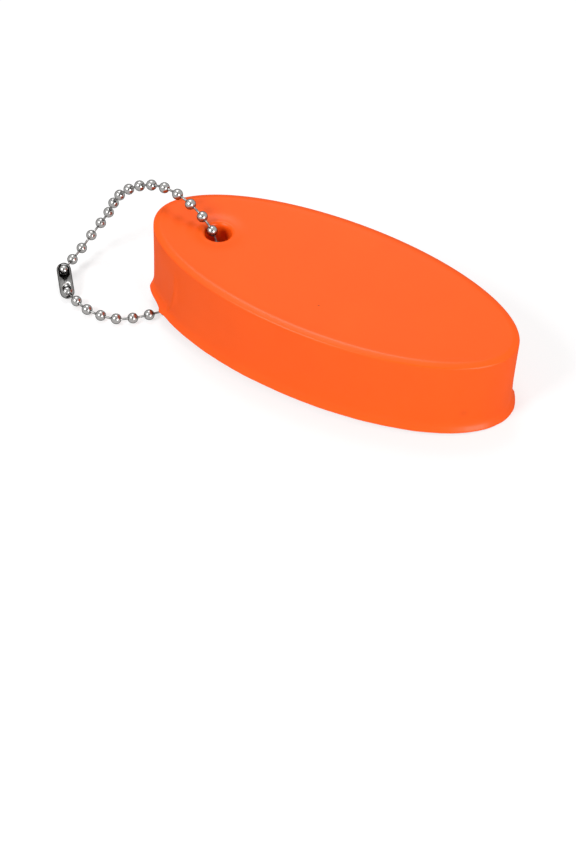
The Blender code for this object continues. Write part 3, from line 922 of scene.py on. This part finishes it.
def dark_card(width):
    """A black card behind the camera, which the polished metal shows as a dark spot."""
    towards = CAMERA_AT.normalized()
    turn = towards.to_track_quat("Z", "Y").to_matrix().to_4x4()
    card = flat_square("dark_card", width, Matrix.Translation(towards * CARD_DISTANCE) @ turn)
    made, shader = new_material("black_card")
    shader.inputs["Base Color"].default_value = CARD_COLOUR
    shader.inputs["Specular IOR Level"].default_value = 0.0
    card.data.materials.append(made)
    card.visible_camera = False


def seen_rays(tree):
    """One for rays from the camera, gloss and glass, and zero for the light on the object."""
    rays = tree.nodes.new("ShaderNodeLightPath")
    glossy = tree.nodes.new("ShaderNodeMath")
    glossy.operation = "MAXIMUM"
    both = tree.nodes.new("ShaderNodeMath")
    both.operation = "MAXIMUM"
    tree.links.new(rays.outputs["Is Camera Ray"], glossy.inputs[0])
    tree.links.new(rays.outputs["Is Glossy Ray"], glossy.inputs[1])
    tree.links.new(glossy.outputs[0], both.inputs[0])
    tree.links.new(rays.outputs["Is Transmission Ray"], both.inputs[1])
    return both.outputs[0]


def floor_material():
    """A floor that looks white, keeps the object's shadow and runs out into plain white."""
    made = bpy.data.materials.new("studio_floor")
    made.use_nodes = True
    tree = made.node_tree
    tree.nodes.clear()
    plain = add_node(tree, "ShaderNodeBsdfDiffuse", Color=FLOOR_GREY)
    lit = add_node(tree, "ShaderNodeBsdfDiffuse", Color=FLOOR_SEEN)
    glow = add_node(tree, "ShaderNodeEmission", Color=WHITE, Strength=FLOOR_GLOW)
    white = add_node(tree, "ShaderNodeEmission", Color=WHITE, Strength=1.0)
    near = tree.nodes.new("ShaderNodeAddShader")
    spread = tree.nodes.new("ShaderNodeMixShader")
    pick = tree.nodes.new("ShaderNodeMixShader")
    out = tree.nodes.new("ShaderNodeOutputMaterial")
    coords = tree.nodes.new("ShaderNodeTexCoord")
    away = tree.nodes.new("ShaderNodeVectorMath")
    away.operation = "LENGTH"
    fade = tree.nodes.new("ShaderNodeMapRange")
    fade.interpolation_type = "SMOOTHSTEP"
    fade.inputs["From Min"].default_value = FLOOR_FADE[0]
    fade.inputs["From Max"].default_value = FLOOR_FADE[1]
    tree.links.new(coords.outputs["Object"], away.inputs[0])
    tree.links.new(away.outputs["Value"], fade.inputs["Value"])
    tree.links.new(lit.outputs[0], near.inputs[0])
    tree.links.new(glow.outputs[0], near.inputs[1])
    tree.links.new(fade.outputs["Result"], spread.inputs[0])
    tree.links.new(near.outputs[0], spread.inputs[1])
    tree.links.new(white.outputs[0], spread.inputs[2])
    tree.links.new(seen_rays(tree), pick.inputs[0])
    tree.links.new(plain.outputs[0], pick.inputs[1])
    tree.links.new(spread.outputs[0], pick.inputs[2])
    tree.links.new(pick.outputs[0], out.inputs[0])
    return made


def studio_world(ambient):
    """A white background that gives a soft even light."""
    world = bpy.data.worlds.new("studio")
    bpy.context.scene.world = world
    world.use_nodes = True
    tree = world.node_tree
    tree.nodes.clear()
    white = add_node(tree, "ShaderNodeBackground", Color=WHITE, Strength=1.0)
    soft = add_node(tree, "ShaderNodeBackground", Color=WHITE, Strength=ambient)
    pick = tree.nodes.new("ShaderNodeMixShader")
    out = tree.nodes.new("ShaderNodeOutputWorld")
    tree.links.new(seen_rays(tree), pick.inputs[0])
    tree.links.new(soft.outputs[0], pick.inputs[1])
    tree.links.new(white.outputs[0], pick.inputs[2])
    tree.links.new(pick.outputs[0], out.inputs[0])


class KEYFLOAT_OT_studio(bpy.types.Operator):
    """Add the floor, the lights and the camera"""

    bl_idname = "keyfloat.studio"
    bl_label = "Studio"

    def execute(self, context):
        studio = context.scene.studio
        floor = flat_square("studio_floor", studio.reach, Matrix())
        floor.data.materials.append(floor_material())
        for name, (at, width) in SOFTBOXES.items():
            softbox(f"{name}_light", at, width, getattr(studio, name))
        dark_card(studio.card)
        studio_world(studio.ambient)
        place_camera()
        context.scene.view_settings.view_transform = "Standard"
        return {"FINISHED"}


class KEYFLOAT_PT_panel(bpy.types.Panel):
    """The keychain's pieces and sizes in the 3D view's sidebar."""

    bl_idname = "KEYFLOAT_PT_panel"
    bl_label = "Key Float"
    bl_space_type = "VIEW_3D"
    bl_region_type = "UI"
    bl_category = "Key Float"

    def draw(self, context):
        for name, _ in SETTINGS:
            box = self.layout.box()
            box.label(text=name.replace("_", " ").capitalize())
            settings = getattr(context.scene, name)
            for key in settings.__annotations__:
                box.prop(settings, key)
        for operator in OPERATORS:
            self.layout.operator(operator.bl_idname)


SETTINGS = (
    ("foam_float", FoamFloatSizes),
    ("ball_chain", BallChainSizes),
    ("coupling", CouplingSizes),
    ("studio", StudioSettings),
)
OPERATORS = (
    KEYFLOAT_OT_studio,
    KEYFLOAT_OT_float,
    KEYFLOAT_OT_beads,
    KEYFLOAT_OT_wires,
    KEYFLOAT_OT_coupling,
)


def register():
    for name, group in SETTINGS:
        bpy.utils.register_class(group)
        setattr(bpy.types.Scene, name, PointerProperty(type=group))
    for made in (*OPERATORS, KEYFLOAT_PT_panel):
        bpy.utils.register_class(made)


def unregister():
    for made in (KEYFLOAT_PT_panel, *reversed(OPERATORS)):
        bpy.utils.unregister_class(made)
    for name, group in reversed(SETTINGS):
        delattr(bpy.types.Scene, name)
        bpy.utils.unregister_class(group)


def main():
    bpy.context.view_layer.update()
    register()
    bpy.ops.keyfloat.studio()
    bpy.ops.keyfloat.foam_float()
    bpy.ops.keyfloat.beads()
    bpy.ops.keyfloat.wires()
    bpy.ops.keyfloat.coupling()


if __name__ == "__main__":
    main()
